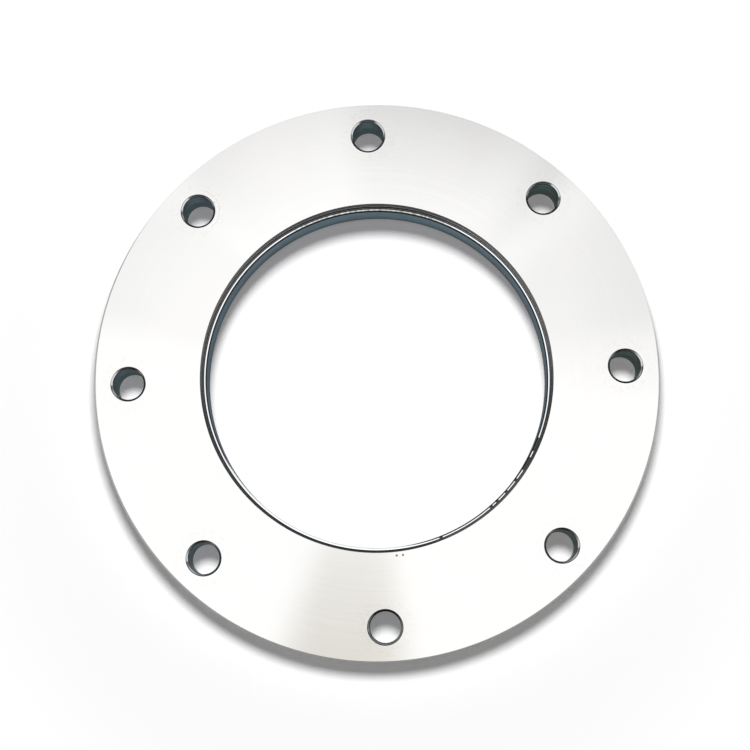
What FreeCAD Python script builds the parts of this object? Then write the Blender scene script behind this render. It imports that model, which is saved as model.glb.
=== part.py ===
import FreeCAD, Part
import Sketcher
import os

# A bolted vacuum flange: a flat steel ring, turned in one piece and drilled for bolts.
# The origin is the centre of the back face. Z runs along the bore, up to the sealing face.

# Driving sizes in millimetres. The bolt circle and the outer diameter follow from the bore
# and from the widths of metal between the bore, the holes and the rim.
DRIVING_SIZES = [
    ("bore_diameter", 100, "clear bore through the ring"),
    ("ledge_width", 1.1, "radial width of the ledge that seats the centring ring"),
    ("recess_depth", 3, "depth of the ledge below the sealing face"),
    ("flange_thickness", 12, "back face to sealing face"),
    ("sealing_land", 16.9, "metal between the recess wall and a bolt hole"),
    ("bolt_hole_diameter", 9, "clearance hole for an M8 bolt"),
    ("bolt_hole_count", 8, "equally spaced holes"),
    ("rim_wall", 5.5, "metal between a bolt hole and the outer rim"),
    ("bolt_hole_chamfer", 0.65, "countersink at both ends of each bolt hole"),
    ("rim_chamfer", 0.5, "broken outer edges"),
    ("recess_chamfer", 0.4, "broken edge where the recess meets the sealing face"),
    ("recess_corner_radius", 0.3, "tool radius in the corner of the recess"),
    ("ledge_chamfer", 0.25, "broken edge where the ledge meets the bore"),
    ("back_bore_chamfer", 0.4, "broken edge where the bore meets the back face"),
]

# Sizes that follow from the driving ones, as formulas over the sheet above.
DERIVED_SIZES = [
    ("recess_diameter", "sizes.bore_diameter + 2 * sizes.ledge_width"),
    (
        "bolt_circle_diameter",
        "recess_diameter + 2 * sizes.sealing_land + sizes.bolt_hole_diameter",
    ),
    (
        "outer_diameter",
        "bolt_circle_diameter + sizes.bolt_hole_diameter + 2 * sizes.rim_wall",
    ),
    ("ledge_height", "sizes.flange_thickness - sizes.recess_depth"),
    ("ledge_break", "min(sizes.ledge_chamfer; sizes.ledge_width / 3)"),
    ("corner_radius", "min(sizes.recess_corner_radius; sizes.ledge_width / 3)"),
]

doc = FreeCAD.newDocument("vacuum_flange")


def fill_sheet(name, rows):
    """A spreadsheet with one alias a row: the note or formula's name in A, the value in B."""
    sheet = doc.addObject("Spreadsheet::Sheet", name)
    for number, row in enumerate(rows, start=1):
        alias, value = row[0], row[1]
        sheet.set(f"A{number}", row[-1] if len(row) > 2 else alias)
        sheet.set(f"B{number}", str(value))
        sheet.setAlias(f"B{number}", alias)
    return sheet


sizes = fill_sheet("sizes", DRIVING_SIZES)
doc.recompute()
derived = fill_sheet("derived", [(alias, f"={formula}") for alias, formula in DERIVED_SIZES])
doc.recompute()


def origin_feature(body, role):
    """The body's own origin plane or axis with this role."""
    return next(item for item in body.Origin.OriginFeatures if item.Role == role)


def section_sketch(body, name, corners):
    """A closed outline on the body's XZ plane, each corner held by its radius and height.

    A corner is a pair of expressions: its distance from the Z axis and its height.
    A height of None puts the corner on the back face, at height zero.
    """
    sketch = body.newObject("Sketcher::SketchObject", name)
    sketch.AttachmentSupport = (origin_feature(body, "XZ_Plane"), [""])
    sketch.MapMode = "FlatFace"
    places = []
    for radius, height in corners:
        along = sketch.evalExpression(radius)
        up = 0 if height is None else sketch.evalExpression(height)
        places.append(FreeCAD.Vector(along, up, 0))
    count = len(corners)
    for index in range(count):
        sketch.addGeometry(Part.LineSegment(places[index], places[(index + 1) % count]))
    for index in range(count):
        sketch.addConstraint(Sketcher.Constraint("Coincident", index, 2, (index + 1) % count, 1))
    for index, (radius, height) in enumerate(corners):
        held = sketch.addConstraint(
            Sketcher.Constraint("DistanceX", -1, 1, index, 1, places[index].x)
        )
        sketch.setExpression(f"Constraints[{held}]", radius)
        if height is None:
            sketch.addConstraint(Sketcher.Constraint("PointOnObject", index, 1, -1))
        else:
            held = sketch.addConstraint(
                Sketcher.Constraint("DistanceY", -1, 1, index, 1, places[index].y)
            )
            sketch.setExpression(f"Constraints[{held}]", height)
    return sketch


flange = doc.addObject("PartDesign::Body", "flange")
flange.Label = "flange"

# The turned ring. Its section runs from the back of the bore out to the rim, up to the
# sealing face, in to the recess, and down over the ledge into the bore again.
ring_section = section_sketch(
    flange,
    "ring_section",
    [
        ("sizes.bore_diameter / 2 + sizes.back_bore_chamfer", None),
        ("derived.outer_diameter / 2 - sizes.rim_chamfer", None),
        ("derived.outer_diameter / 2", "sizes.rim_chamfer"),
        ("derived.outer_diameter / 2", "sizes.flange_thickness - sizes.rim_chamfer"),
        ("derived.outer_diameter / 2 - sizes.rim_chamfer", "sizes.flange_thickness"),
        ("derived.recess_diameter / 2 + sizes.recess_chamfer", "sizes.flange_thickness"),
        ("derived.recess_diameter / 2", "sizes.flange_thickness - sizes.recess_chamfer"),
        ("derived.recess_diameter / 2", "derived.ledge_height"),
        ("sizes.bore_diameter / 2 + derived.ledge_break", "derived.ledge_height"),
        ("sizes.bore_diameter / 2", "derived.ledge_height - derived.ledge_break"),
        ("sizes.bore_diameter / 2", "sizes.back_bore_chamfer"),
    ],
)
ring = flange.newObject("PartDesign::Revolution", "ring")
ring.Profile = ring_section
ring.ReferenceAxis = (ring_section, ["V_Axis"])
ring.Angle = 360
doc.recompute()


def circle_edges(shape, radius, height):
    """Names of the shape's full circles of this radius round the Z axis, at this height."""
    names = []
    for number, edge in enumerate(shape.Edges, start=1):
        if not isinstance(edge.Curve, Part.Circle):
            continue
        centre = edge.Curve.Center
        on_axis = abs(centre.x) < 1e-6 and abs(centre.y) < 1e-6
        right_size = abs(edge.Curve.Radius - radius) < 1e-4
        if on_axis and right_size and abs(centre.z - height) < 1e-4:
            names.append(f"Edge{number}")
    return names


# The turning tool leaves a small radius in the corner of the recess.
recess_corner = flange.newObject("PartDesign::Fillet", "recess_corner")
corner_names = circle_edges(ring.Shape, derived.recess_diameter / 2, derived.ledge_height)
recess_corner.Base = (ring, corner_names)
recess_corner.setExpression("Radius", "derived.corner_radius")
doc.recompute()

# One bolt hole, drilled through and countersunk at both ends. Its section is turned about
# the hole's own axis, which stands on the bolt circle.
HOLE_AXIS = "derived.bolt_circle_diameter / 2"
HOLE_WALL = f"{HOLE_AXIS} + sizes.bolt_hole_diameter / 2"
HOLE_MOUTH = f"{HOLE_WALL} + sizes.bolt_hole_chamfer"
hole_section = section_sketch(
    flange,
    "bolt_hole_section",
    [
        (HOLE_AXIS, None),
        (HOLE_MOUTH, None),
        (HOLE_WALL, "sizes.bolt_hole_chamfer"),
        (HOLE_WALL, "sizes.flange_thickness - sizes.bolt_hole_chamfer"),
        (HOLE_MOUTH, "sizes.flange_thickness"),
        (HOLE_AXIS, "sizes.flange_thickness"),
    ],
)
axis_bottom = FreeCAD.Vector(hole_section.evalExpression(HOLE_AXIS), 0, 0)
axis_top = axis_bottom + FreeCAD.Vector(0, sizes.flange_thickness, 0)
axis_line = hole_section.addGeometry(Part.LineSegment(axis_bottom, axis_top), True)
hole_section.addConstraint(Sketcher.Constraint("Coincident", axis_line, 1, 0, 1))
hole_section.addConstraint(Sketcher.Constraint("Coincident", axis_line, 2, 5, 1))
volume_before = recess_corner.Shape.Volume
bolt_hole = flange.newObject("PartDesign::Groove", "bolt_hole")
bolt_hole.Profile = hole_section
bolt_hole.ReferenceAxis = (hole_section, ["Axis0"])
bolt_hole.Angle = 360
doc.recompute()
hole_volume = volume_before - bolt_hole.Shape.Volume

bolt_holes = flange.newObject("PartDesign::PolarPattern", "bolt_holes")
bolt_holes.Originals = [bolt_hole]
bolt_holes.Axis = (origin_feature(flange, "Z_Axis"), [""])
bolt_holes.Angle = 360
bolt_holes.setExpression("Occurrences", "sizes.bolt_hole_count")
flange.Tip = bolt_holes
flange.Placement = FreeCAD.Placement()
doc.recompute()

# Every feature is sound, and each hole took its full share of metal.
for item in doc.Objects:
    if "Invalid" in item.State or "Error" in item.State:
        raise RuntimeError(f"{item.Name} failed: {item.State}")
if flange.Shape.isNull() or not flange.Shape.isValid():
    raise RuntimeError("the flange has no valid solid")
volume_cut = volume_before - flange.Shape.Volume
if hole_volume <= 0 or abs(volume_cut / hole_volume - sizes.bolt_hole_count) > 1e-3:
    raise RuntimeError("the bolt holes didn't cut as they should")

os.makedirs("parts", exist_ok=True)
flange.Shape.exportStep("parts/flange.step")
box = flange.Shape.BoundBox
print("flange", round(box.XLength, 3), round(box.YLength, 3), round(box.ZLength, 3), "mm")
print("volume", round(flange.Shape.Volume, 1), "cubic mm, solids", len(flange.Shape.Solids))
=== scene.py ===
import math
import bpy
from mathutils import Matrix, Vector


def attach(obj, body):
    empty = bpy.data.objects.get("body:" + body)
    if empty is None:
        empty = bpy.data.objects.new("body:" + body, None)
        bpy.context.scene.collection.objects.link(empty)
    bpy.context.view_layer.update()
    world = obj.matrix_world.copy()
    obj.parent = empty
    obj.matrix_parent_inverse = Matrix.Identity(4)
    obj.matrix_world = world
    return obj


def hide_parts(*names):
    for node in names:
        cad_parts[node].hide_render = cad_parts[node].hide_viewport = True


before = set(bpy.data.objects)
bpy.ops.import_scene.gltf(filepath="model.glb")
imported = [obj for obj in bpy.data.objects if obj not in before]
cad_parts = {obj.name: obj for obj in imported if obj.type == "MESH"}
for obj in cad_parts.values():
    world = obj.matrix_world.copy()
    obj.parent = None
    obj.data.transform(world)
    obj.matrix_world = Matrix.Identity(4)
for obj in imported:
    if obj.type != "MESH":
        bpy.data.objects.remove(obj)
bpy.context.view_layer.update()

# Sizes of the flange in millimetres, as the CAD model has them. Z runs up from the back face.
MM = 0.001
THICKNESS = 12.0
BORE_RADIUS = 50.0
RECESS_RADIUS = 51.1
LEDGE_HEIGHT = 9.0
LEDGE_BREAK = 0.25
RECESS_CORNER = 0.3
RECESS_CHAMFER = 0.4
BACK_BORE_CHAMFER = 0.4
RIM_RADIUS = 82.5
RIM_CHAMFER = 0.5
HOLE_COUNT = 8
HOLE_CIRCLE_RADIUS = 72.5
HOLE_RADIUS = 4.5
HOLE_CHAMFER = 0.65
MOUTH_RADIUS = HOLE_RADIUS + HOLE_CHAMFER

# Finish that the CAD model doesn't have.
LIP_WIDTH = 0.66  # bright lip that slopes down from the ledge to the bore
LIP_DROP = 0.08
EDGE_SOFTNESS = 0.07  # radius left on every turned edge

# How finely the surfaces are divided.
ARC_STEPS = 64  # round the ring, for each bolt hole
SIDE_STEPS = 16  # along the line between two bolt holes' shares of the face
FACE_RINGS = 8  # from a hole's mouth out to the edge of its share
FACE_CROWDING = 1.5  # above 1, the rings lie closer together near the hole
CORNER_STEPS = 4
RING_STEPS = HOLE_COUNT * ARC_STEPS
HOLE_STEPS = 2 * ARC_STEPS + 2 * SIDE_STEPS
SAME_PLACE_DIGITS = 5  # points that agree to this many decimals are one vertex


# Shapes.


class Surface:
    """Points and faces in millimetres. A point that is given twice is one vertex."""

    def __init__(self):
        self.places = []
        self.normals = []
        self.faces = []
        self.regions = []
        self.known = {}

    def point(self, place, normal):
        key = tuple(round(value, SAME_PLACE_DIGITS) for value in place)
        if key not in self.known:
            self.known[key] = len(self.places)
            self.places.append(place)
            self.normals.append(normal)
        return self.known[key]

    def strip(self, first, second, region):
        """Quads between two closed rows. Seen from outside, second lies on first's left."""
        count = len(first)
        for index in range(count):
            after = (index + 1) % count
            self.faces.append((first[index], first[after], second[after], second[index]))
            self.regions.append(region)


def softened_path(start, corners, end):
    """The outline from start through the corners to end, with every corner rounded.

    A corner is its place, its radius, the region of its rounding and the region of what
    follows it. Every point is its place, its outward normal and the region after it.
    """
    places = [Vector(start)] + [Vector(corner[0]) for corner in corners] + [Vector(end)]
    path = []
    for index, (_, radius, rounded, following) in enumerate(corners, start=1):
        before, corner, after = places[index - 1 : index + 2]
        way_in = (corner - before).normalized()
        way_out = (after - corner).normalized()
        normal_in = Vector((way_in.y, -way_in.x))
        normal_out = Vector((way_out.y, -way_out.x))
        outward = 1 if way_in.cross(way_out) > 0 else -1
        reach = radius * math.tan(way_in.angle(way_out) / 2)
        centre = corner - way_in * reach - normal_in * radius * outward
        for step in range(CORNER_STEPS + 1):
            normal = normal_in.lerp(normal_out, step / CORNER_STEPS).normalized()
            region = following if step == CORNER_STEPS else rounded
            path.append((centre + normal * radius * outward, normal, region))
    return path


def circle_point(centre, angle, distance, height):
    """A point at this distance and angle from an upright axis."""
    return (
        centre[0] + distance * math.cos(angle),
        centre[1] + distance * math.sin(angle),
        height,
    )


def add_turned(surface, path, centre, angles):
    """Turns a path about the upright axis through centre."""
    rows = []
    for place, normal, _ in path:
        row = []
        for angle in angles:
            outward = (math.cos(angle) * normal.x, math.sin(angle) * normal.x, normal.y)
            row.append(surface.point(circle_point(centre, angle, place.x, place.y), outward))
        rows.append(row)
    for index in range(len(path) - 1):
        surface.strip(rows[index], rows[index + 1], path[index][2])


def ring_angle(step):
    """Angle round the flange, with the first hole's share of the ring centred on zero."""
    return 2 * math.pi * ((step - ARC_STEPS / 2) % RING_STEPS) / RING_STEPS


def share_border(hole, inner, outer):
    """Points round one hole's share of a face, anticlockwise, as (angle, distance)."""
    first = hole * ARC_STEPS
    border = [(ring_angle(first + step), outer) for step in range(ARC_STEPS)]
    for step in range(SIDE_STEPS):
        share = step / SIDE_STEPS
        border.append((ring_angle(first + ARC_STEPS), outer + (inner - outer) * share))
    border += [(ring_angle(first + ARC_STEPS - step), inner) for step in range(ARC_STEPS)]
    for step in range(SIDE_STEPS):
        share = 1 - step / SIDE_STEPS
        border.append((ring_angle(first), outer + (inner - outer) * share))
    return border


def add_flat_face(surface, hole, centre, angles, radii, height, facing):
    """One hole's share of the sealing face or the back face.

    radii are those of the hole's mouth and of the face's inner and outer edges.
    """
    mouth, inner, outer = radii
    border = [
        circle_point((0, 0), angle, distance, height)
        for angle, distance in share_border(hole, inner, outer)
    ]
    rim = [circle_point(centre, angle, mouth, height) for angle in angles]
    rows = []
    for ring in range(FACE_RINGS + 1):
        share = (ring / FACE_RINGS) ** FACE_CROWDING
        row = []
        for near, far in zip(rim, border):
            if ring == 0:
                place = near
            elif ring == FACE_RINGS:
                place = far
            else:
                place = tuple(Vector(near).lerp(far, share))
            row.append(surface.point(place, (0, 0, facing)))
        rows.append(row)
    for near, far in zip(rows, rows[1:]):
        if facing > 0:
            surface.strip(far, near, "face")
        else:
            surface.strip(near, far, "back")


def flange_surface():
    """The whole flange: rim, recess, ledge, bore, both faces and the bolt holes."""
    surface = Surface()
    rim_inside = RIM_RADIUS - RIM_CHAMFER
    recess_mouth = RECESS_RADIUS + RECESS_CHAMFER
    bore_mouth = BORE_RADIUS + BACK_BORE_CHAMFER
    soft = EDGE_SOFTNESS
    rim_path = softened_path(
        (bore_mouth, 0),
        [
            ((rim_inside, 0), soft, "rim_edge", "rim_edge"),
            ((RIM_RADIUS, RIM_CHAMFER), soft, "rim_edge", "rim"),
            ((RIM_RADIUS, THICKNESS - RIM_CHAMFER), soft, "rim_edge", "rim_edge"),
            ((rim_inside, THICKNESS), soft, "rim_edge", "face"),
        ],
        (recess_mouth, THICKNESS),
    )
    bore_path = softened_path(
        (rim_inside, THICKNESS),
        [
            ((recess_mouth, THICKNESS), soft, "recess_edge", "recess_edge"),
            ((RECESS_RADIUS, THICKNESS - RECESS_CHAMFER), soft, "recess_edge", "recess"),
            ((RECESS_RADIUS, LEDGE_HEIGHT), RECESS_CORNER, "recess", "ledge"),
            ((BORE_RADIUS + LIP_WIDTH, LEDGE_HEIGHT), soft, "ledge", "lip"),
            ((BORE_RADIUS, LEDGE_HEIGHT - LIP_DROP), LEDGE_BREAK, "ledge_edge", "bore"),
            ((BORE_RADIUS, BACK_BORE_CHAMFER), soft, "bore", "bore_edge"),
            ((bore_mouth, 0), soft, "bore_edge", "back"),
        ],
        (rim_inside, 0),
    )
    hole_path = softened_path(
        (2 * MOUTH_RADIUS, THICKNESS),
        [
            ((MOUTH_RADIUS, THICKNESS), soft, "countersink", "countersink"),
            ((HOLE_RADIUS, THICKNESS - HOLE_CHAMFER), soft, "hole", "hole"),
            ((HOLE_RADIUS, HOLE_CHAMFER), soft, "hole", "countersink"),
            ((MOUTH_RADIUS, 0), soft, "countersink", "back"),
        ],
        (2 * MOUTH_RADIUS, 0),
    )
    ring_angles = [ring_angle(step) for step in range(RING_STEPS)]
    add_turned(surface, rim_path, (0, 0), ring_angles)
    add_turned(surface, bore_path, (0, 0), ring_angles)
    # Where each face starts and ends: its holes' mouths, its inner edge and its outer edge.
    front = (hole_path[0][0].x, bore_path[0][0].x, rim_path[-1][0].x)
    back = (hole_path[-1][0].x, bore_path[-1][0].x, rim_path[0][0].x)
    for hole in range(HOLE_COUNT):
        turn = 2 * math.pi * hole / HOLE_COUNT
        centre = circle_point((0, 0), turn, HOLE_CIRCLE_RADIUS, 0)
        # The first point round the hole looks at the first corner of its share of the face.
        corner = circle_point((0, 0), -math.pi / HOLE_COUNT, front[2], 0)
        start = turn + math.atan2(corner[1], corner[0] - HOLE_CIRCLE_RADIUS)
        angles = [start + 2 * math.pi * step / HOLE_STEPS for step in range(HOLE_STEPS)]
        add_turned(surface, hole_path, centre, angles)
        add_flat_face(surface, hole, centre, angles, front, THICKNESS, 1)
        add_flat_face(surface, hole, centre, angles, back, 0, -1)
    return surface


def add_piece(name, surface, materials):
    """Makes the object, with one material for each region of its surface."""
    mesh = bpy.data.meshes.new(name)
    places = [tuple(value * MM for value in place) for place in surface.places]
    mesh.from_pydata(places, [], surface.faces)
    slots = {region: number for number, region in enumerate(materials)}
    for material in materials.values():
        mesh.materials.append(material)
    mesh.polygons.foreach_set("material_index", [slots[region] for region in surface.regions])
    mesh.polygons.foreach_set("use_smooth", [True] * len(mesh.polygons))
    mesh.update()
    mesh.normals_split_custom_set_from_vertices(surface.normals)
    piece = bpy.data.objects.new(name, mesh)
    bpy.context.scene.collection.objects.link(piece)
    return piece


# Shader nodes.

# Where a Mix node keeps its share and its two numbers or colours, and its mixed colour.
MIX_NUMBER_INPUTS = (0, 2, 3)
MIX_COLOUR_INPUTS = (0, 6, 7)
MIX_COLOUR_OUTPUT = 2


class Graph:
    """Adds nodes to a node tree. Each call returns the socket that holds its result."""

    def __init__(self, tree):
        self.tree = tree

    def put(self, value, socket):
        if isinstance(value, bpy.types.NodeSocket):
            self.tree.links.new(value, socket)
        elif value is not None:
            socket.default_value = value

    def put_all(self, values, sockets):
        for value, socket in zip(values, sockets):
            self.put(value, socket)

    def node(self, kind, **settings):
        made = self.tree.nodes.new(kind)
        for name, value in settings.items():
            setattr(made, name, value)
        return made

    def calc(self, operation, first, second=None):
        made = self.node("ShaderNodeMath", operation=operation)
        self.put_all((first, second), made.inputs)
        return made.outputs[0]

    def step(self, value, low, high, at_low=0.0, at_high=1.0):
        """Goes smoothly from one value to another as the input goes from low to high."""
        made = self.node("ShaderNodeMapRange", interpolation_type="SMOOTHSTEP")
        self.put_all((value, low, high, at_low, at_high), made.inputs)
        return made.outputs[0]

    def step_degrees(self, angle, low, high, at_low=0.0, at_high=1.0):
        """The same for an angle, with low and high in degrees."""
        return self.step(angle, math.radians(low), math.radians(high), at_low, at_high)

    def band(self, value, centre, half, soft):
        """1 within half of centre, going to 0 over soft beyond it."""
        off = self.calc("ABSOLUTE", self.calc("SUBTRACT", value, centre))
        return self.step(off, half, half + soft, 1.0, 0.0)

    def band_degrees(self, angle, centre, half, soft):
        """The same for an angle, with centre, half and soft in degrees."""
        return self.band(angle, math.radians(centre), math.radians(half), math.radians(soft))

    def blend(self, share, first, second):
        """The first number where share is 0, the second where it's 1."""
        made = self.node("ShaderNodeMix", data_type="FLOAT")
        self.put_all((share, first, second), [made.inputs[index] for index in MIX_NUMBER_INPUTS])
        return made.outputs[0]

    def mix(self, share, first, second):
        """The first colour where share is 0, the second where it's 1."""
        made = self.node("ShaderNodeMix", data_type="RGBA")
        self.put_all((share, first, second), [made.inputs[index] for index in MIX_COLOUR_INPUTS])
        return made.outputs[MIX_COLOUR_OUTPUT]

    def vector(self, x=0.0, y=0.0, z=0.0):
        made = self.node("ShaderNodeCombineXYZ")
        self.put_all((x, y, z), made.inputs)
        return made.outputs[0]

    def split(self, vector):
        made = self.node("ShaderNodeSeparateXYZ")
        self.put(vector, made.inputs[0])
        return made.outputs[0], made.outputs[1], made.outputs[2]

    def times(self, *values):
        total = values[0]
        for value in values[1:]:
            total = self.calc("MULTIPLY", total, value)
        return total

    def length(self, first, second):
        squares = (self.calc("MULTIPLY", value, value) for value in (first, second))
        return self.calc("SQRT", self.calc("ADD", *squares))

    def noise(self, vector, scale, detail=2.0):
        """Cloudy noise from 0 to 1, whose blotches are about 1 / scale wide."""
        made = self.node("ShaderNodeTexNoise")
        self.put(vector, made.inputs["Vector"])
        self.put(scale, made.inputs["Scale"])
        self.put(detail, made.inputs["Detail"])
        return made.outputs[0]

    def lines(self, across, pitch, detail=1.0):
        """Noise from 0 to 1 that runs in lines, about pitch apart, along equal values."""
        made = self.node("ShaderNodeTexNoise", noise_dimensions="1D")
        self.put(across, made.inputs["W"])
        self.put(1 / pitch, made.inputs["Scale"])
        self.put(detail, made.inputs["Detail"])
        return made.outputs[0]

    def seen_directly(self):
        """1 for what the camera sees, also in metal or through glass."""
        path = self.node("ShaderNodeLightPath")
        shown = self.calc("MAXIMUM", path.outputs["Is Camera Ray"], path.outputs["Is Glossy Ray"])
        return self.calc("MAXIMUM", shown, path.outputs["Is Transmission Ray"])


def grey(level):
    return (level, level, level, 1.0)


def opaque(colour):
    return colour + (1.0,)


def new_material(name):
    material = bpy.data.materials.new(name)
    material.use_nodes = True
    tree = material.node_tree
    shader = tree.nodes["Principled BSDF"]
    return material, Graph(tree), shader


class Spot:
    """Where a shaded point is, in millimetres and radians, as sockets of one graph."""

    def __init__(self, graph):
        place = graph.node("ShaderNodeTexCoord").outputs["Object"]
        self.x, self.y, self.z = (graph.times(value, 1 / MM) for value in graph.split(place))
        self.place = graph.vector(self.x, self.y, self.z)
        self.distance = graph.length(self.x, self.y)
        self.angle = graph.calc("ARCTAN2", self.y, self.x)
        share = 2 * math.pi / HOLE_COUNT
        near = graph.times(graph.calc("ROUND", graph.calc("DIVIDE", self.angle, share)), share)
        hole_x = graph.times(graph.calc("COSINE", near), HOLE_CIRCLE_RADIUS)
        hole_y = graph.times(graph.calc("SINE", near), HOLE_CIRCLE_RADIUS)
        self.hole_distance, self.hole_angle = self.seen_from(graph, hole_x, hole_y)

    def seen_from(self, graph, x, y):
        """Distance and angle of the point, seen from an upright axis at x and y."""
        off_x = graph.calc("SUBTRACT", self.x, x)
        off_y = graph.calc("SUBTRACT", self.y, y)
        return graph.length(off_x, off_y), graph.calc("ARCTAN2", off_y, off_x)


# The middle part of a noise's range, wide and narrow, which is stretched to a tone's range.
WIDE_MIDDLE = (0.3, 0.7)
NARROW_MIDDLE = (0.35, 0.65)

# What all the steel has. Scales are one over millimetres.
CLOUD_SCALE = 0.06
CLOUD_TONES = (0.985, 1.0)
WARMTH_SCALE = 0.035
COOLER = (0.993, 1.0, 1.006)  # what the cooler blotches multiply the colour by
FAR_COLOUR_ALONG_X = (-40.0, 60.0)  # millimetres, where the second colour starts and is full
PLAIN_MARK_PITCH = 0.4
MARK_RANGE = (0.25, 0.75)
ROUGHNESS_SPREAD = 0.1
ALONG_THE_MARKS = 0.25  # a quarter turn


def steel(
    name, colour, roughness, anisotropy=0.0, edge_tint=1.0, tone=None, grooves_and_shade=None, far_colour=None
):
    """Bare machined steel whose tool marks run round the flange's axis.

    tone gives a socket that scales the colour. groove gives the height of the tool marks,
    from 0 to 1, and how many millimetres deep they are. The colour goes over to far_colour
    towards +X.
    """
    material, graph, shader = new_material(name)
    spot = Spot(graph)
    shader.inputs["Metallic"].default_value = 1.0
    shader.inputs["Specular Tint"].default_value = grey(edge_tint)
    if anisotropy:
        shader.inputs["Anisotropic"].default_value = anisotropy
        shader.inputs["Anisotropic Rotation"].default_value = ALONG_THE_MARKS
        tangent = graph.node("ShaderNodeTangent", direction_type="RADIAL", axis="Z")
        graph.put(tangent.outputs[0], shader.inputs["Tangent"])
    cloud = graph.noise(spot.place, CLOUD_SCALE)
    shade = graph.step(cloud, *WIDE_MIDDLE, *CLOUD_TONES)
    # In several regions the tone holds painted light and shade as well as marks.
    if tone:
        shade = graph.times(shade, tone(graph, spot))
    warm = graph.step(graph.noise(spot.place, WARMTH_SCALE), *NARROW_MIDDLE)
    cooler = tuple(value * shift for value, shift in zip(colour, COOLER))
    body = graph.mix(warm, opaque(cooler), opaque(colour))
    if far_colour:
        body = graph.mix(graph.step(spot.x, *FAR_COLOUR_ALONG_X), body, opaque(far_colour))
    scaled = graph.node("ShaderNodeVectorMath", operation="SCALE")
    graph.put(body, scaled.inputs[0])
    graph.put(shade, scaled.inputs["Scale"])
    graph.put(scaled.outputs[0], shader.inputs["Base Color"])
    if grooves_and_shade:
        marks, depth = grooves_and_shade(graph, spot)
        bump = graph.node("ShaderNodeBump")
        bump.inputs["Distance"].default_value = depth * MM
        graph.put(marks, bump.inputs["Height"])
        graph.put(bump.outputs[0], shader.inputs["Normal"])
    else:
        marks = graph.lines(spot.distance, PLAIN_MARK_PITCH)
    smoother = roughness * (1 - ROUGHNESS_SPREAD)
    rougher = roughness * (1 + ROUGHNESS_SPREAD)
    graph.put(graph.step(marks, *MARK_RANGE, smoother, rougher), shader.inputs["Roughness"])
    return material


# Below, a BAND is its middle, half its width and its soft border in millimetres. An ARC is
# the same in degrees. Other pairs of places are where a change starts and ends, and two
# TONES are the tones there. A single TONE is that of a mark on steel whose tone is 1.

# Tool marks: fine lines, and the wider ones that the tool's feed leaves.
FINE_SHARE = 0.6
FEED_SHARE = 0.4
FACE_PITCHES = (0.3, 1.7)
FACE_MARK_DEPTH = 0.002
WALL_PITCHES = (0.25, 1.1)
WALL_MARK_DEPTH = 0.01


def tool_marks(graph, across, fine_pitch, feed_pitch):
    fine = graph.times(graph.lines(across, fine_pitch), FINE_SHARE)
    feed = graph.times(graph.lines(across, feed_pitch), FEED_SHARE)
    return graph.calc("ADD", fine, feed)


def turned_rings(graph, spot):
    return tool_marks(graph, spot.distance, *FACE_PITCHES), FACE_MARK_DEPTH


def turned_threads(graph, spot):
    return tool_marks(graph, spot.z, *WALL_PITCHES), WALL_MARK_DEPTH


# Small marks on the sealing face, as (x, y) in millimetres.
PITS = [(3.98, -52.42), (5.78, -52.33)]
PIT_RADIUS = 0.22
PIT_TONE = 0.25
SCUFFED_HOLE = (-51.27, 51.27)
SCUFF_BAND = (6.4, 0.06, 0.14)
SCUFF_ARC = (10, 50, 25)
SCUFF_PITCH = 0.12  # radians between its breaks
SCUFF_BREAKS = (0.35, 0.6)
SCUFF_DARKENING = 0.2
NICK_BAND = (5.5, 0.25, 0.15)
NICK_DIRECTION = math.radians(27)
NICK_HALF = 0.012  # radians
NICK_SOFT = 0.02
NICK_DARKENING = 0.4

# Tool marks and wear on it.
FACE_MARK_RANGE = (0.2, 0.8)
FACE_MARK_TONES = (0.985, 1.0)
WEAR_BAND = (6.8, 0.8, 1.4)  # from each hole's axis
WEAR_SCALE = 0.9
WEAR_DETAIL = 3.0
WEAR_PATCHES = (0.45, 0.7)
WEAR_TONE = 0.96


def face_tone(graph, spot):
    """Faint tool marks, light wear round the holes, two pits and a scuff."""
    rings, _ = turned_rings(graph, spot)
    tone = graph.step(rings, *FACE_MARK_RANGE, *FACE_MARK_TONES)
    handled = graph.times(
        graph.band(spot.hole_distance, *WEAR_BAND),
        graph.step(graph.noise(spot.place, WEAR_SCALE, WEAR_DETAIL), *WEAR_PATCHES),
    )
    tone = graph.times(tone, graph.blend(handled, 1.0, WEAR_TONE))
    for x, y in PITS:
        off, _ = spot.seen_from(graph, x, y)
        tone = graph.times(tone, graph.step(off, PIT_RADIUS, 2 * PIT_RADIUS, PIT_TONE, 1.0))
    off, turn = spot.seen_from(graph, *SCUFFED_HOLE)
    arc = graph.times(
        graph.band(off, *SCUFF_BAND),
        graph.band_degrees(turn, *SCUFF_ARC),
        graph.step(graph.lines(turn, SCUFF_PITCH), *SCUFF_BREAKS),
    )
    nick = graph.times(
        graph.band(off, *NICK_BAND), graph.band(turn, NICK_DIRECTION, NICK_HALF, NICK_SOFT)
    )
    for mark, darkening in ((arc, SCUFF_DARKENING), (nick, NICK_DARKENING)):
        tone = graph.times(tone, graph.calc("SUBTRACT", 1.0, graph.times(mark, darkening)))
    return tone


# Where a hole's mouth goes over from its lower to its upper half, as sines of the angle
# round the hole. The TONES of the mouth's two edges are those of the two halves: painted
# shade, dark lines at the edges that differ between the halves.
UPPER_HALF = (-0.2, 0.3)
INNER_EDGE = (HOLE_RADIUS + 0.1, HOLE_RADIUS + 0.24)
INNER_EDGE_TONES = (0.5, 0.1)
OUTER_EDGE = (MOUTH_RADIUS - 0.28, MOUTH_RADIUS - 0.14)
OUTER_EDGE_TONES = (0.12, 0.6)
# Painted shade: a dark line in the upper part.
TOP_ARC = (90, 18, 25)
TOP_BAND = (MOUTH_RADIUS - 0.3, 0.08, 0.08)
TOP_TONE = 0.08
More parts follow.
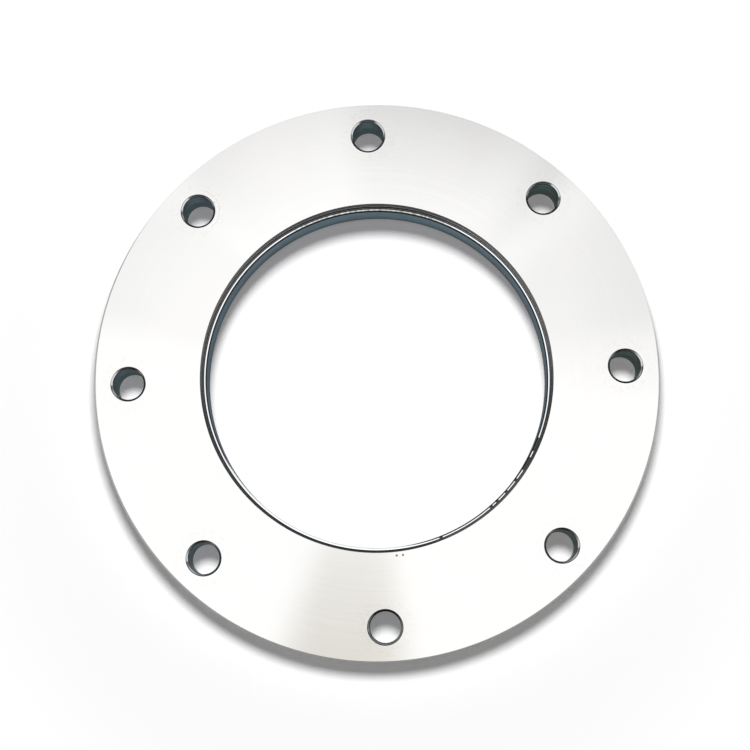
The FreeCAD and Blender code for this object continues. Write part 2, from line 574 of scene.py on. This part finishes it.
# Painted shade: the hole nearest to -Y is darker, with a painted shadow along its upper part.
LOWEST_HOLE = (-60, -65)
LOWEST_TONE = 0.75
SHADOW_ARC = (80, 44, 25)
SHADOW_EDGE = (MOUTH_RADIUS - 0.2, MOUTH_RADIUS - 0.1)
SHADOW_TONE = 0.03


def countersink_tone(graph, spot):
    """Painted shade: dark lines at the inner edge and round the mouth, and a painted shadow on one
    hole.
    """
    upper = graph.step(graph.calc("SINE", spot.hole_angle), *UPPER_HALF)
    top = graph.band_degrees(spot.hole_angle, *TOP_ARC)
    inner = graph.blend(upper, *INNER_EDGE_TONES)
    outer = graph.blend(upper, *OUTER_EDGE_TONES)
    line = graph.times(top, graph.band(spot.hole_distance, *TOP_BAND))
    lowest = graph.step(spot.y, *LOWEST_HOLE)
    mouth_shade = graph.times(
        graph.step(spot.hole_distance, *INNER_EDGE, inner, 1.0),
        graph.step(spot.hole_distance, *OUTER_EDGE, 1.0, outer),
        graph.blend(line, 1.0, TOP_TONE),
        graph.blend(lowest, 1.0, LOWEST_TONE),
    )
    shadowed = graph.times(lowest, graph.band_degrees(spot.hole_angle, *SHADOW_ARC))
    painted_shadow = graph.step(spot.hole_distance, *SHADOW_EDGE, SHADOW_TONE, 1.0)
    return graph.blend(shadowed, mouth_shade, painted_shadow)


DRILL_PITCH = 1.6
DRILL_TONES = (0.75, 1.15)
# Painted shade on the wall just under the countersink.
HOLE_TOP = (THICKNESS - 1.6, THICKNESS - 0.9)
HOLE_TOP_TONE = 0.4


def hole_tone(graph, spot):
    """Drill marks round the wall, with painted shade just under the countersink."""
    rings = graph.step(graph.lines(spot.z, DRILL_PITCH), *WIDE_MIDDLE, *DRILL_TONES)
    top = graph.step(spot.z, *HOLE_TOP, 1.0, HOLE_TOP_TONE)
    return graph.times(rings, top)


STREAK_SQUEEZE = 0.3  # how much less the streaks change along the bore's axis
STREAK_SCALE = 2.5
STREAK_TONES = (0.88, 1.05)
# Painted shade at the bore's foot and under the ledge, and painted light towards +Y.
BORE_FOOT = (0.5, 1.6)
BORE_FOOT_TONE = 0.65
BORE_HEAD = (LEDGE_HEIGHT - 1.2, LEDGE_HEIGHT - 0.7)
BORE_HEAD_TONE = 0.15
BORE_LIGHT_GAIN = 0.87


def bore_tone(graph, spot):
    """Faint streaks, painted shade under the ledge and at the foot, painted light to +Y."""
    along = graph.times(spot.z, STREAK_SQUEEZE)
    streaks = graph.noise(graph.vector(spot.angle, 0.0, along), STREAK_SCALE)
    foot = graph.step(spot.z, *BORE_FOOT, BORE_FOOT_TONE, 1.0)
    head = graph.step(spot.z, *BORE_HEAD, 1.0, BORE_HEAD_TONE)
    lit_side = graph.calc("MAXIMUM", graph.calc("SINE", spot.angle), 0.0)
    lit_side = graph.calc("ADD", 1.0, graph.times(lit_side, BORE_LIGHT_GAIN))
    return graph.times(graph.step(streaks, *WIDE_MIDDLE, *STREAK_TONES), foot, head, lit_side)


# Painted light and shade on the recess's chamfer: lighter towards +Y, darker towards -Y, and
# lighter along one stretch.
RECESS_EDGE_TONE = 0.66  # towards +X and -X
RECESS_EDGE_SWING = 0.34  # more towards +Y and less towards -Y
RECESS_EDGE_LIGHT_ARC = (-52, 15, 10)
RECESS_EDGE_LIGHT_GAIN = 0.35


def recess_edge_tone(graph, spot):
    """Painted shade towards -Y, painted light towards +Y and along one stretch."""
    lit_stretch = graph.band_degrees(spot.angle, *RECESS_EDGE_LIGHT_ARC)
    swing = graph.times(graph.calc("SINE", spot.angle), RECESS_EDGE_SWING)
    tone = graph.calc("ADD", RECESS_EDGE_TONE, swing)
    return graph.calc("ADD", tone, graph.times(lit_stretch, RECESS_EDGE_LIGHT_GAIN))


RECESS_FEED = 1.85  # millimetres between the turned lines in the recess
RECESS_LINE = 10.7  # height of one of them
RECESS_WAVE = (-0.5, 0.7)  # cosines between which a line's edge lies
RECESS_LINE_TONES = (0.1, 1.9)
RECESS_FINE_PITCH = 0.3
RECESS_FINE_TONES = (0.85, 1.15)
# Painted light towards +X and -X and in one arc, and painted shade in the recess's corner.
RECESS_SIDE_GAIN = 0.45
RECESS_LIT_ARC = (32, 20, 18)
RECESS_LIT_GAIN = 0.7
RECESS_FOOT = (RECESS_RADIUS - 0.25, RECESS_RADIUS)  # distances, in the recess's corner
RECESS_FOOT_SHADE = 0.12


def recess_tone(graph, spot):
    """Bright lines left by the turning tool, with painted light towards +X and -X and
    painted shade in the corner.
    """
    off = graph.calc("SUBTRACT", spot.z, RECESS_LINE)
    wave = graph.calc("COSINE", graph.times(off, 2 * math.pi / RECESS_FEED))
    lines = graph.step(wave, *RECESS_WAVE, *RECESS_LINE_TONES)
    fine = graph.lines(spot.z, RECESS_FINE_PITCH)
    fine = graph.step(fine, *WIDE_MIDDLE, *RECESS_FINE_TONES)
    sides = graph.calc("ABSOLUTE", graph.calc("COSINE", spot.angle))
    sides = graph.calc("ADD", 1.0, graph.times(sides, RECESS_SIDE_GAIN))
    clear = graph.band_degrees(spot.angle, *RECESS_LIT_ARC)
    sides = graph.calc("ADD", sides, graph.times(clear, RECESS_LIT_GAIN))
    foot = graph.step(spot.distance, *RECESS_FOOT, RECESS_FOOT_SHADE, 1.0)
    return graph.times(lines, fine, sides, foot, recess_edge_tone(graph, spot))


# Painted shade on the ledge beside the lip, darkest towards +Y.
LEDGE_TOP = (0.6, 0.9)  # sines of the angle, where the painted shade gets darker towards +Y
LEDGE_SHADE_TONES = (0.7, 0.15)
LEDGE_SHADE_BAND = (BORE_RADIUS + 0.74, BORE_RADIUS + 0.9)
LEDGE_OUTER_TONE = 1.3


def ledge_tone(graph, spot):
    """Painted shade beside the lip, darkest towards +Y."""
    grooves_and_shade = graph.step(graph.calc("SINE", spot.angle), *LEDGE_TOP, *LEDGE_SHADE_TONES)
    return graph.step(spot.distance, *LEDGE_SHADE_BAND, grooves_and_shade, LEDGE_OUTER_TONE)


# Painted light towards +Y and painted shade elsewhere on the rim's chamfers.
RIM_EDGE_TURN = math.radians(12)
RIM_EDGE_TOP = (0.2, 0.5)  # sines of the angle
RIM_EDGE_TONE = 0.46


def rim_edge_tone(graph, spot):
    """Painted light towards +Y, painted shade elsewhere."""
    turn = graph.calc("ADD", spot.angle, RIM_EDGE_TURN)
    return graph.step(graph.calc("SINE", turn), *RIM_EDGE_TOP, RIM_EDGE_TONE, 1.0)


# A painted highlight on one stretch of the ledge's inner edge, which is otherwise a dark line of
# painted shade.
EDGE_HIGHLIGHT_ARC = (-116, 31, 8)
EDGE_HIGHLIGHT_GAIN = 26.0


def painted_edge_highlight(graph, spot):
    """1 where a highlight is painted on the ledge's inner edge, 0 where it's a dark line."""
    return graph.band_degrees(spot.angle, *EDGE_HIGHLIGHT_ARC)


# The ledge's edge is painted shade as a dark line, lifted by the painted highlight.
def ledge_edge_tone(graph, spot):
    return graph.calc("ADD", 1.0, graph.times(painted_edge_highlight(graph, spot), EDGE_HIGHLIGHT_GAIN))


# Where the lip's bright line is broken, in degrees round the axis.
SHORT_GAPS = [-39, -44, -48.3, -51, -70.4]
SHORT_GAP_HALF = 0.45
LONG_GAPS = [-25.4, -32.5]
LONG_GAP_HALF = 2.3
GAP_SOFT = 0.35
GAP_TONE = 0.08
# Where it's patchy.
PATCHY_ARC = (90, 22, 10)
PATCH_PITCH = 0.025  # radians
PATCH_TONES = (0.45, 0.85)
# Its inner and outer edges, darkened as painted shade, and how far out they move where it's
# narrower.
LIP_INNER = (BORE_RADIUS + 0.26, BORE_RADIUS + 0.3)
LIP_INNER_TONE = 0.1
LIP_INNER_SHIFT = 0.13
LIP_OUTER = (BORE_RADIUS + 0.6, BORE_RADIUS + 0.64)
LIP_OUTER_TONE = 0.15
LIP_OUTER_SHIFT = 0.04
NARROW_ARC = (-42, 28, 12)


def lip_tone(graph, spot):
    """The lip's sheen is broken up on one side, patchy towards +Y, and painted shade along its
    edges.
    """
    tone = 1.0
    for gaps, half in ((SHORT_GAPS, SHORT_GAP_HALF), (LONG_GAPS, LONG_GAP_HALF)):
        for gap in gaps:
            gone = graph.band_degrees(spot.angle, gap, half, GAP_SOFT)
            tone = graph.times(tone, graph.blend(gone, 1.0, GAP_TONE))
    patchy = graph.band_degrees(spot.angle, *PATCHY_ARC)
    patches = graph.step(graph.lines(spot.angle, PATCH_PITCH), *NARROW_MIDDLE, *PATCH_TONES)
    tone = graph.times(tone, graph.blend(patchy, 1.0, patches))
    narrow = graph.band_degrees(spot.angle, *NARROW_ARC)
    from_inner = graph.calc("SUBTRACT", spot.distance, graph.times(narrow, LIP_INNER_SHIFT))
    inner = graph.step(from_inner, *LIP_INNER, LIP_INNER_TONE, 1.0)
    inner = graph.calc("MAXIMUM", inner, painted_edge_highlight(graph, spot))
    from_outer = graph.calc("SUBTRACT", spot.distance, graph.times(narrow, LIP_OUTER_SHIFT))
    outer = graph.step(from_outer, *LIP_OUTER, 1.0, LIP_OUTER_TONE)
    return graph.times(tone, outer, inner)


# One material for each region of the surface.
materials = {
    "face": steel(
        "turned_face",
        (0.9, 0.893, 0.88),
        roughness=0.11,
        anisotropy=1.0,
        tone=face_tone,
        grooves_and_shade=turned_rings,
    ),
    "back": steel(
        "turned_back", (0.82, 0.815, 0.8), roughness=0.2, anisotropy=0.9, grooves_and_shade=turned_rings
    ),
    "countersink": steel(
        "countersink", (0.72, 0.74, 0.75), roughness=0.14, edge_tint=0.7, tone=countersink_tone
    ),
    # The dark colours of the hole wall, the recess, the ledge, the bore and their edges are partly
    # a duller finish and partly painted shade in the hollows.
    "hole": steel(
        "hole_wall",
        (0.2, 0.285, 0.317),
        roughness=0.4,
        edge_tint=0.55,
        tone=hole_tone,
        far_colour=(0.165, 0.233, 0.22),
    ),
    "rim": steel(
        "turned_rim", (0.7, 0.7, 0.69), roughness=0.3, anisotropy=0.6, grooves_and_shade=turned_threads
    ),
    "rim_edge": steel(
        "rim_edge", (0.92, 0.92, 0.92), roughness=0.25, anisotropy=0.3, tone=rim_edge_tone
    ),
    "recess_edge": steel(
        "recess_edge", (0.2, 0.2, 0.2), roughness=0.3, edge_tint=0.4, tone=recess_edge_tone
    ),
    "recess": steel(
        "recess_wall", (0.19, 0.19, 0.187), roughness=0.35, edge_tint=0.4, tone=recess_tone
    ),
    "ledge": steel(
        "ledge", (0.075, 0.076, 0.078), roughness=0.35, edge_tint=0.5, tone=ledge_tone
    ),
    "lip": steel("ledge_lip", (0.95, 0.97, 0.985), roughness=0.12, tone=lip_tone),
    # Painted shade: the ledge's edge is painted as a dark line.
    "ledge_edge": steel(
        "ledge_edge", (0.034, 0.036, 0.036), roughness=0.7, edge_tint=0.4, tone=ledge_edge_tone
    ),
    "bore": steel(
        "bore_wall",
        (0.115, 0.155, 0.18),
        roughness=0.65,
        edge_tint=0.45,
        tone=bore_tone,
        grooves_and_shade=turned_threads,
    ),
    "bore_edge": steel("bore_edge", (0.06, 0.08, 0.1), roughness=0.4, edge_tint=0.3),
}

flange = add_piece("flange_body", flange_surface(), materials)
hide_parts("flange")
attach(flange, "root")


# Floor.

FLOOR_DROP = 0.1  # millimetres of air under the flange
FLOOR_RADIUS = 8000.0
BORE_SEAM = BORE_RADIUS + 2.0  # where the floor's parts meet, under the flange
RIM_SEAM = RIM_RADIUS - 1.0
FLOOR_STEPS = 256
FLOOR_COLOUR = 0.95
FLOOR_GLOW = 0.09
INNER_GLOW = 0.195  # under the bore and the bolt holes, where less light gets round the ring
GLOW_TINT = grey(1.0)
INNER_GLOW_TINT = (1.0, 0.945, 0.945, 1.0)
# Two steps of glow that keep the floor pale where the lamp's light falls off, with the
# distances from the flange's axis, in metres, at which each starts and ends.
NEAR_GLOW = 0.1
NEAR_REACH = (0.095, 0.165)
FAR_GLOW = 0.7
FAR_REACH = (0.12, 1.1)


def floor_material(name, level, tint):
    """A matt white floor that glows a little, and can be seen through from below."""
    material, graph, shader = new_material(name)
    shader.inputs["Roughness"].default_value = 1.0
    shader.inputs["Specular IOR Level"].default_value = 0.0
    shader.inputs["Base Color"].default_value = grey(FLOOR_COLOUR)
    shader.inputs["Emission Color"].default_value = tint
    x, y, _ = graph.split(graph.node("ShaderNodeTexCoord").outputs["Object"])
    distance = graph.length(x, y)
    near = graph.step(distance, *NEAR_REACH, level, level + NEAR_GLOW)
    far = graph.step(distance, *FAR_REACH, 0.0, FAR_GLOW)
    glow = graph.times(graph.seen_directly(), graph.calc("ADD", near, far))
    graph.put(glow, shader.inputs["Emission Strength"])
    from_below = graph.node("ShaderNodeNewGeometry").outputs["Backfacing"]
    clear = graph.node("ShaderNodeBsdfTransparent").outputs[0]
    either = graph.node("ShaderNodeMixShader")
    graph.put_all((from_below, shader.outputs[0], clear), either.inputs)
    graph.put(either.outputs[0], material.node_tree.nodes["Material Output"].inputs["Surface"])
    return material


def add_floor(name, radii, material):
    """A flat disc, or a ring between two radii, of floor under the flange."""
    places = []
    for radius in radii:
        for step in range(FLOOR_STEPS):
            angle = 2 * math.pi * step / FLOOR_STEPS
            place = circle_point((0, 0), angle, radius, -FLOOR_DROP)
            places.append(tuple(value * MM for value in place))
    if len(radii) == 1:
        faces = [tuple(range(FLOOR_STEPS))]
    else:
        faces = []
        for step in range(FLOOR_STEPS):
            after = (step + 1) % FLOOR_STEPS
            faces.append((step, FLOOR_STEPS + step, FLOOR_STEPS + after, after))
    mesh = bpy.data.meshes.new(name)
    mesh.from_pydata(places, [], faces)
    mesh.materials.append(material)
    floor = bpy.data.objects.new(name, mesh)
    bpy.context.scene.collection.objects.link(floor)
    return floor


inner_material = floor_material("inner_floor", INNER_GLOW, INNER_GLOW_TINT)
outer_material = floor_material("pale_floor", FLOOR_GLOW, GLOW_TINT)
bore_floor = add_floor("floor_bore", [BORE_SEAM], inner_material)
hole_floor = add_floor("floor_holes", [BORE_SEAM, RIM_SEAM], inner_material)
outer_floor = add_floor("floor", [RIM_SEAM, FLOOR_RADIUS], outer_material)


# Lights. A soft lamp overhead casts the shadow round the flange. The light that falls through
# the bore and the bolt holes comes from a little further back.

LAMP_LEVEL = 0.92  # what the lamp adds to a white surface that faces up
LAMP_PLACE = Vector((9.0, 55.0, 380.0))
LAMP_RADIUS = 53.0
PANEL_LEVEL = 0.84
PANEL_DISTANCE = 4.0  # metres to the panels that light the floor inside the bore and the holes
BORE_PANEL = {"tilt": math.radians(27.6), "turn": math.radians(3), "width": 0.34, "height": 0.28}
HOLE_PANEL = {"tilt": math.radians(22.8), "turn": 0.0, "width": 0.26, "height": 0.26}


def light_only(light, name, receivers):
    """Keeps a light to these objects."""
    group = bpy.data.collections.new(name)
    for receiver in receivers:
        group.objects.link(receiver)
    for item in group.collection_objects:
        item.light_linking.link_state = "INCLUDE"
    light.light_linking.receiver_collection = group


def add_lamp(name, place, radius, level, receivers):
    """A round lamp whose light doesn't fall off with distance, for the receivers."""
    data = bpy.data.lights.new(name, "POINT")
    data.energy = level * 4 * math.pi**2
    data.shadow_soft_size = radius * MM
    data.use_nodes = True
    graph = Graph(data.node_tree)
    falloff = graph.node("ShaderNodeLightFalloff")
    falloff.inputs["Strength"].default_value = 1.0
    emission = data.node_tree.nodes["Emission"]
    graph.put(falloff.outputs["Constant"], emission.inputs["Strength"])
    lamp = bpy.data.objects.new(name, data)
    lamp.location = place * MM
    lamp.visible_glossy = False
    bpy.context.scene.collection.objects.link(lamp)
    light_only(lamp, name + "_receivers", receivers)


def add_panel(name, tilt, turn, width, height, receivers):
    """A soft light that comes from +Y, this many radians wide and high, for the receivers."""
    data = bpy.data.lights.new(name, "AREA")
    data.shape = "ELLIPSE"
    data.size = width * PANEL_DISTANCE
    data.size_y = height * PANEL_DISTANCE
    data.energy = PANEL_LEVEL * (math.pi * PANEL_DISTANCE) ** 2 / math.cos(tilt)
    panel = bpy.data.objects.new(name, data)
    aim = Matrix.Rotation(turn, 4, "Z") @ Matrix.Rotation(-tilt, 4, "X")
    panel.matrix_world = aim @ Matrix.Translation((0, 0, PANEL_DISTANCE))
    panel.visible_glossy = False
    bpy.context.scene.collection.objects.link(panel)
    light_only(panel, name + "_receivers", receivers)


add_lamp("lamp", LAMP_PLACE, LAMP_RADIUS, LAMP_LEVEL, receivers=[outer_floor])
add_panel("bore_panel", receivers=[bore_floor, flange], **BORE_PANEL)
add_panel("hole_panel", receivers=[hole_floor], **HOLE_PANEL)


# The studio round the flange. An ARC is again a middle, half a width and a soft border in
# degrees, here of a bearing from +X or of a height above the horizon.

AMBIENT = 0.06  # what it gives to matt surfaces
BACKDROP_LEVEL = 0.94
CARD_ARC = (21, 30, 6)  # from +X and from -X, round towards -Y
CARD_SLANT = 0.22  # how fast the cards' lower edges rise towards -Y
CARD_BOTTOM = (2.5, 5.5)
CARD_TOP = (20, 26)
CARD_LEVEL = 1.1
GLOOM_ARC = (-90, 40, 30)
GLOOM_HEIGHT = (0, 26)
GLOOM_LEVELS = (0.02, 0.42)
FRONT_ARC = (90, 40, 30)
HORIZON_LEVEL = 0.22
FRONT_LEVEL = 0.7
BEYOND_ARC = (90, 70, 20)  # bearing and height of the floor beyond the rim
BENEATH_ARC = (-16, 10, 5)
BEYOND_LEVEL = 1.0
UPPER_HEIGHT = (18, 45)
UPPER_LEVEL = 0.8
CEILING_HEIGHT = (35, 60)

# The ceiling. Places on it are (x / z, y / z), and the arcs are round its centre.
CEILING_CENTRE = (-0.0102, 0.167)  # where the flange's centre mirrors the camera
CEILING_TONE = 1.15
LOWEST_Z = 0.001
DIM_SLANT = 0.16  # of the line past which it gets dimmer
DIM_LINE = (0.1647, 0.1954)
DIM_REACH = (0.163, 0.187)  # distances from the centre
# Sectors that are dimmer further out, each an arc and by how much.
DIM_SECTORS = [((92, 80, 10), 0.22), ((88, 40, 8), 0.3), ((76, 12, 10), 0.24), ((52, 3, 6), 0.12)]
RIGHT_ARC = (13, 16, 11)
RIGHT_DIMMING = 0.085
BRIGHT_ARC = (92, 38, 10)
BRIGHTENING = 0.11
WARM_ARC = (-98, 6.5, 10)
WARM_REACH = (0.108, 0.148)
WARM_SHARE = 0.9
WARM_COLOUR = (0.74, 0.71, 0.635, 1.0)


def ceiling_colour(graph, x, y, z):
    """White towards -Y, dimmer past a line that runs across, with one warm patch."""
    up = graph.calc("MAXIMUM", z, LOWEST_Z)
    across = graph.calc("DIVIDE", x, up)
    along = graph.calc("DIVIDE", y, up)
    off_x = graph.calc("SUBTRACT", across, CEILING_CENTRE[0])
    off_y = graph.calc("SUBTRACT", along, CEILING_CENTRE[1])
    off = graph.length(off_x, off_y)
    turn = graph.calc("ARCTAN2", off_y, off_x)
    line = graph.calc("ADD", along, graph.times(across, DIM_SLANT))
    upper = graph.step(line, *DIM_LINE)
    depth = 0.0
    for arc, amount in DIM_SECTORS:
        depth = graph.calc("ADD", depth, graph.times(graph.band_degrees(turn, *arc), amount))
    depth = graph.times(depth, graph.step(off, *DIM_REACH))
    right = graph.times(graph.band_degrees(turn, *RIGHT_ARC), RIGHT_DIMMING)
    bright = graph.times(graph.band_degrees(turn, *BRIGHT_ARC), BRIGHTENING)
    depth = graph.calc("SUBTRACT", graph.calc("ADD", depth, right), bright)
    tone = graph.calc("SUBTRACT", CEILING_TONE, graph.times(upper, depth))
    warm = graph.times(graph.band_degrees(turn, *WARM_ARC), graph.step(off, *WARM_REACH))
    return graph.mix(graph.times(warm, WARM_SHARE), graph.vector(tone, tone, tone), WARM_COLOUR)


def studio_world():
    """A white ceiling, a grey horizon and two bright cards low on either side."""
    world = bpy.data.worlds.new("studio")
    world.use_nodes = True
    tree = world.node_tree
    tree.nodes.clear()
    graph = Graph(tree)
    x, y, z = graph.split(graph.node("ShaderNodeTexCoord").outputs["Generated"])
    bearing = graph.calc("ARCTAN2", y, x)
    height = graph.calc("ARCSINE", z)
    ceiling = ceiling_colour(graph, x, y, z)
    # How far round from +X or -X towards -Y, the same on either side.
    aside = graph.calc("ARCTAN2", graph.calc("MULTIPLY", y, -1.0), graph.calc("ABSOLUTE", x))
    lower_edge = graph.calc("SUBTRACT", height, graph.times(aside, CARD_SLANT))
    cards = graph.times(
        graph.band_degrees(aside, *CARD_ARC),
        graph.step_degrees(lower_edge, *CARD_BOTTOM),
        graph.step_degrees(height, *CARD_TOP, 1.0, 0.0),
    )
    front = graph.band_degrees(bearing, *FRONT_ARC)
    horizon = graph.mix(front, grey(HORIZON_LEVEL), grey(FRONT_LEVEL))
    # What the floor beyond the rim gives back.
    beyond = graph.times(
        graph.band_degrees(bearing, *BEYOND_ARC), graph.band_degrees(height, *BENEATH_ARC)
    )
    horizon = graph.mix(beyond, horizon, grey(BEYOND_LEVEL))
    darkest, palest = (grey(level) for level in GLOOM_LEVELS)
    gloom = graph.mix(graph.step_degrees(height, *GLOOM_HEIGHT), darkest, palest)
    horizon = graph.mix(graph.band_degrees(bearing, *GLOOM_ARC), horizon, gloom)
    horizon = graph.mix(graph.step_degrees(height, *UPPER_HEIGHT), horizon, grey(UPPER_LEVEL))
    horizon = graph.mix(cards, horizon, grey(CARD_LEVEL))
    backdrop = graph.mix(graph.step_degrees(height, *CEILING_HEIGHT), horizon, ceiling)
    # The cards and the gloom show in metal. The camera sees a plain backdrop in their place.
    plain = graph.node("ShaderNodeLightPath").outputs["Is Camera Ray"]
    backdrop = graph.mix(plain, backdrop, grey(BACKDROP_LEVEL))
    light = graph.mix(graph.seen_directly(), grey(AMBIENT), backdrop)
    background = graph.node("ShaderNodeBackground")
    graph.put(light, background.inputs["Color"])
    background.inputs["Strength"].default_value = 1.0
    out = graph.node("ShaderNodeOutputWorld")
    graph.put(background.outputs[0], out.inputs["Surface"])
    world.cycles.sampling_method = "NONE"
    return world


bpy.context.scene.world = studio_world()


# Camera.

CAMERA_PLACE = Vector((3.88, -70.91, 442.72))
CAMERA_TARGET = Vector((-0.41, 0.0, 12.0))
CAMERA_ROLL = math.radians(-2.006)
CAMERA_LENS = 71.95
SENSOR_WIDTH = 36.0
NEAREST_SEEN = 0.01
FARTHEST_SEEN = 100.0


def add_camera(place, target, roll, lens):
    """A camera that looks from place to target, with +Y up in its picture before the roll."""
    data = bpy.data.cameras.new("camera")
    data.sensor_width = SENSOR_WIDTH
    data.lens = lens
    data.clip_start = NEAREST_SEEN
    data.clip_end = FARTHEST_SEEN
    ahead = (target - place).normalized()
    right = ahead.cross(Vector((0, 1, 0))).normalized()
    up = right.cross(ahead)
    rolled_right = right * math.cos(roll) + up * math.sin(roll)
    rolled_up = up * math.cos(roll) - right * math.sin(roll)
    axes = Matrix((rolled_right, rolled_up, -ahead)).transposed()
    camera = bpy.data.objects.new("camera", data)
    camera.matrix_world = Matrix.Translation(place * MM) @ axes.to_4x4()
    bpy.context.scene.collection.objects.link(camera)
    return camera


bpy.context.scene.camera = add_camera(CAMERA_PLACE, CAMERA_TARGET, CAMERA_ROLL, CAMERA_LENS)
bpy.context.scene.view_settings.view_transform = "Standard"
